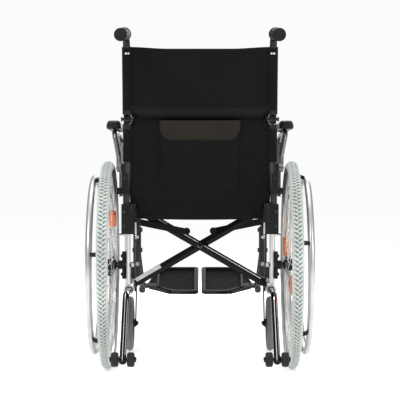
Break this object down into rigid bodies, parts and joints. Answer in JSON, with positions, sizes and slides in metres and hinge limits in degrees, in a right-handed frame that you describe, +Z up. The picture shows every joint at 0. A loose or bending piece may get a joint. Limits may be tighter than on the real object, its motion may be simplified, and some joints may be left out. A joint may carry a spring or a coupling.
{
  "type": "folding manual wheelchair",
  "caption": "Folding self-propelled wheelchair with spoked rear wheels and handrims, swivel casters, cross-brace frame, flip-back arms, swing-away footrests and anti-tippers.",
  "frame": {"origin": "on the floor under the middle of the chair's bounding box", "axes": "+Z up, +Y forward along the direction of travel, +X to the chair's right as seen from behind"},
  "size_m": [0.637, 1.1998, 0.9888],
  "materials": {
    "frame_paint": "dark grey painted tube, satin",
    "satin_alloy": "light satin alloy",
    "polished_tube": "grey polished tube",
    "chrome_tube": "bright chromed tube",
    "black_metal": "black painted metal, satin",
    "black_plastic": "black moulded plastic, fine grain",
    "hub_plastic": "dark grey moulded plastic",
    "zinc": "zinc-plated steel",
    "wheel_alloy": "matt anodised alloy",
    "grip_rubber": "black ribbed rubber",
    "grey_tyre": "light grey non-marking rubber",
    "caster_rubber": "mid grey rubber",
    "orange_plastic": "orange reflector, ribbed and glossy",
    "pad_skin": "black grained vinyl skin over foam",
    "upholstery": "black woven nylon"
  },
  "bodies": {
    "frame_left": {"frame_l": "frame_paint", "rear_post_l": "satin_alloy", "axle_l": "black_plastic", "clamps_l": "black_plastic", "fasteners_l": "zinc"},
    "frame_right": {"frame_r": "frame_paint", "rear_post_r": "satin_alloy", "axle_r": "black_plastic", "clamps_r": "black_plastic", "fasteners_r": "zinc"},
    "bar_a": {"cross_bar_a": "black_metal", "centre_bolt": "zinc"},
    "bar_b": {"cross_bar_b": "black_metal"},
    "link_left": {"link_l": "black_metal"},
    "seat_left": {"seat_l": "upholstery"},
    "back_top_left": {"back_tube_l": "polished_tube", "push_grip_l": "grip_rubber"},
    "panel_upper_left": {"back_upper_l": "upholstery"},
    "panel_lower_left": {"back_lower_l": "upholstery"},
    "wheel_left": {"tyre_l": "grey_tyre", "rim_l": "wheel_alloy", "spokes_l": "zinc", "hub_l": "black_plastic", "handrim_l": "wheel_alloy", "reflectors_l": "orange_plastic"},
    "caster_fork_left": {"caster_fork_l": "black_metal"},
    "caster_wheel_left": {"caster_tyre_l": "caster_rubber", "caster_hub_l": "hub_plastic"},
    "antitip_left": {"antitip_tube_l": "chrome_tube"},
    "antitip_rollers_left": {"antitip_wheels_l": "hub_plastic"},
    "arm_left": {"arm_frame_l": "frame_paint", "arm_pad_l": "pad_skin", "side_guard_l": "black_plastic"},
    "brake_left": {"brake_l": "zinc"},
    "hanger_left": {"hanger_l": "frame_paint"},
    "footplate_left": {"footplate_l": "black_plastic"},
    "link_right": {"link_r": "black_metal"},
    "seat_right": {"seat_r": "upholstery"},
    "back_top_right": {"back_tube_r": "polished_tube", "push_grip_r": "grip_rubber"},
    "panel_upper_right": {"back_upper_r": "upholstery"},
    "panel_lower_right": {"back_lower_r": "upholstery"},
    "wheel_right": {"tyre_r": "grey_tyre", "rim_r": "wheel_alloy", "spokes_r": "zinc", "hub_r": "black_plastic", "handrim_r": "wheel_alloy", "reflectors_r": "orange_plastic"},
    "caster_fork_right": {"caster_fork_r": "black_metal"},
    "caster_wheel_right": {"caster_tyre_r": "caster_rubber", "caster_hub_r": "hub_plastic"},
    "antitip_right": {"antitip_tube_r": "chrome_tube"},
    "antitip_rollers_right": {"antitip_wheels_r": "hub_plastic"},
    "arm_right": {"arm_frame_r": "frame_paint", "arm_pad_r": "pad_skin", "side_guard_r": "black_plastic"},
    "brake_right": {"brake_r": "zinc"},
    "hanger_right": {"hanger_r": "frame_paint"},
    "footplate_right": {"footplate_r": "black_plastic"}
  },
  "joints": [
    {"name": "fold", "type": "hinge", "parent": "frame_left", "child": "bar_a", "pos_m": [-0.208, -0.01089, 0.232], "axis": [0, -1, 0], "range_deg": [0, 46]},
    {"name": "cross_centre", "type": "hinge", "parent": "bar_a", "child": "bar_b", "pos_m": [0, -0.02089, 0.3525], "axis": [0, -1, 0], "range_deg": [-92.5, 0]},
    {"name": "right_frame_pivot", "type": "hinge", "parent": "bar_b", "child": "frame_right", "pos_m": [0.208, -0.03088, 0.232], "axis": [0, -1, 0], "range_deg": [0, 46.5]},
    {"name": "seat_left_tilt", "type": "hinge", "parent": "bar_b", "child": "seat_left", "pos_m": [-0.208, 0.00911, 0.473], "axis": [0, -1, 0], "range_deg": [0, 120.33]},
    {"name": "seat_right_tilt", "type": "hinge", "parent": "bar_a", "child": "seat_right", "pos_m": [0.208, 0.00911, 0.473], "axis": [0, -1, 0], "range_deg": [-120.33, 0]},
    {"name": "link_left_swing", "type": "hinge", "parent": "frame_left", "child": "link_left", "pos_m": [-0.19, -0.04489, 0.426], "axis": [0, -1, 0], "range_deg": [0, 83.3]},
    {"name": "link_right_swing", "type": "hinge", "parent": "frame_right", "child": "link_right", "pos_m": [0.19, 0.00312, 0.426], "axis": [0, -1, 0], "range_deg": [-83.3, 0]},
    {"name": "panel_upper_left_turn", "type": "hinge", "parent": "back_top_left", "child": "panel_upper_left", "pos_m": [-0.212, -0.2741, 0.85018], "axis": [0, 0.1736, -0.9848], "range_deg": [0, 73.64]},
    {"name": "panel_lower_left_turn", "type": "hinge", "parent": "frame_left", "child": "panel_lower_left", "pos_m": [-0.212, -0.24285, 0.67291], "axis": [0, 0.1736, -0.9848], "range_deg": [0, 73.64]},
    {"name": "footplate_left_flip", "type": "hinge", "parent": "hanger_left", "child": "footplate_left", "pos_m": [-0.198, 0.47412, 0.186], "axis": [0, -0.9135, -0.4067], "range_deg": [0, 108.6]},
    {"name": "panel_upper_right_turn", "type": "hinge", "parent": "back_top_right", "child": "panel_upper_right", "pos_m": [0.212, -0.2741, 0.85018], "axis": [0, -0.1736, 0.9848], "range_deg": [0, 73.64]},
    {"name": "panel_lower_right_turn", "type": "hinge", "parent": "frame_right", "child": "panel_lower_right", "pos_m": [0.212, -0.24285, 0.67291], "axis": [0, -0.1736, 0.9848], "range_deg": [0, 73.64]},
    {"name": "footplate_right_flip", "type": "hinge", "parent": "hanger_right", "child": "footplate_right", "pos_m": [0.198, 0.47412, 0.186], "axis": [0, 0.9135, 0.4067], "range_deg": [0, 108.6]},
    {"name": "back_fold", "type": "hinge", "parent": "frame_left", "child": "back_top_left", "pos_m": [-0.212, -0.25327, 0.732], "axis": [-1, 0, 0], "range_deg": [-90, 0]},
    {"name": "back_fold_right", "type": "hinge", "parent": "frame_right", "child": "back_top_right", "pos_m": [0.212, -0.25327, 0.732], "axis": [-1, 0, 0], "range_deg": [-90.5, 0.5]},
    {"name": "wheel_left_spin", "type": "hinge", "parent": "frame_left", "child": "wheel_left", "pos_m": [-0.27, -0.21588, 0.305], "axis": [1, 0, 0], "continuous": true},
    {"name": "caster_left_swivel", "type": "hinge", "parent": "frame_left", "child": "caster_fork_left", "pos_m": [-0.228, 0.26411, 0.23], "axis": [0, 0, 1], "continuous": true},
    {"name": "caster_left_spin", "type": "hinge", "parent": "caster_fork_left", "child": "caster_wheel_left", "pos_m": [-0.228, 0.21912, 0.088], "axis": [1, 0, 0], "continuous": true},
    {"name": "antitip_left_turn", "type": "hinge", "parent": "frame_left", "child": "antitip_left", "pos_m": [-0.208, -0.21588, 0.232], "axis": [0, -1, 0], "range_deg": [0, 180]},
    {"name": "antitip_left_roll", "type": "hinge", "parent": "antitip_left", "child": "antitip_rollers_left", "pos_m": [-0.208, -0.57988, 0.071], "axis": [1, 0, 0], "continuous": true},
    {"name": "arm_left_flip", "type": "hinge", "parent": "frame_left", "child": "arm_left", "pos_m": [-0.24, -0.21588, 0.59], "axis": [1, 0, 0], "range_deg": [0, 88]},
    {"name": "brake_left_lever", "type": "hinge", "parent": "frame_left", "child": "brake_left", "pos_m": [-0.234, 0.11911, 0.425], "axis": [1, 0, 0], "range_deg": [-30, 0]},
    {"name": "hanger_left_swing", "type": "hinge", "parent": "frame_left", "child": "hanger_left", "pos_m": [-0.205, 0.24912, 0.35], "axis": [0, 0, 1], "range_deg": [0, 90]},
    {"name": "wheel_right_spin", "type": "hinge", "parent": "frame_right", "child": "wheel_right", "pos_m": [0.27, -0.21588, 0.305], "axis": [1, 0, 0], "continuous": true},
    {"name": "caster_right_swivel", "type": "hinge", "parent": "frame_right", "child": "caster_fork_right", "pos_m": [0.228, 0.26411, 0.23], "axis": [0, 0, 1], "continuous": true},
    {"name": "caster_right_spin", "type": "hinge", "parent": "caster_fork_right", "child": "caster_wheel_right", "pos_m": [0.228, 0.21912, 0.088], "axis": [1, 0, 0], "continuous": true},
    {"name": "antitip_right_turn", "type": "hinge", "parent": "frame_right", "child": "antitip_right", "pos_m": [0.208, -0.21588, 0.232], "axis": [0, 1, 0], "range_deg": [0, 180]},
    {"name": "antitip_right_roll", "type": "hinge", "parent": "antitip_right", "child": "antitip_rollers_right", "pos_m": [0.208, -0.57988, 0.071], "axis": [1, 0, 0], "continuous": true},
    {"name": "arm_right_flip", "type": "hinge", "parent": "frame_right", "child": "arm_right", "pos_m": [0.24, -0.21588, 0.59], "axis": [1, 0, 0], "range_deg": [0, 88]},
    {"name": "brake_right_lever", "type": "hinge", "parent": "frame_right", "child": "brake_right", "pos_m": [0.234, 0.11911, 0.425], "axis": [1, 0, 0], "range_deg": [-30, 0]},
    {"name": "hanger_right_swing", "type": "hinge", "parent": "frame_right", "child": "hanger_right", "pos_m": [0.205, 0.24912, 0.35], "axis": [0, 0, -1], "range_deg": [0, 90]}
  ],
  "couplings": [
    {"joint": "cross_centre", "follows": "fold", "ratio": -2},
    {"joint": "right_frame_pivot", "follows": "fold", "ratio": 1},
    {"joint": "seat_left_tilt", "follows": "fold", "ratio": 2.605},
    {"joint": "seat_right_tilt", "follows": "fold", "ratio": -2.605},
    {"joint": "link_left_swing", "follows": "fold", "ratio": 1.8},
    {"joint": "link_right_swing", "follows": "fold", "ratio": -1.8},
    {"joint": "panel_upper_left_turn", "follows": "fold", "ratio": 1.59},
    {"joint": "panel_lower_left_turn", "follows": "fold", "ratio": 1.59},
    {"joint": "footplate_left_flip", "follows": "fold", "ratio": 2.35},
    {"joint": "panel_upper_right_turn", "follows": "fold", "ratio": 1.59},
    {"joint": "panel_lower_right_turn", "follows": "fold", "ratio": 1.59},
    {"joint": "footplate_right_flip", "follows": "fold", "ratio": 2.35},
    {"joint": "back_fold_right", "follows": "back_fold", "ratio": 1}
  ]
}
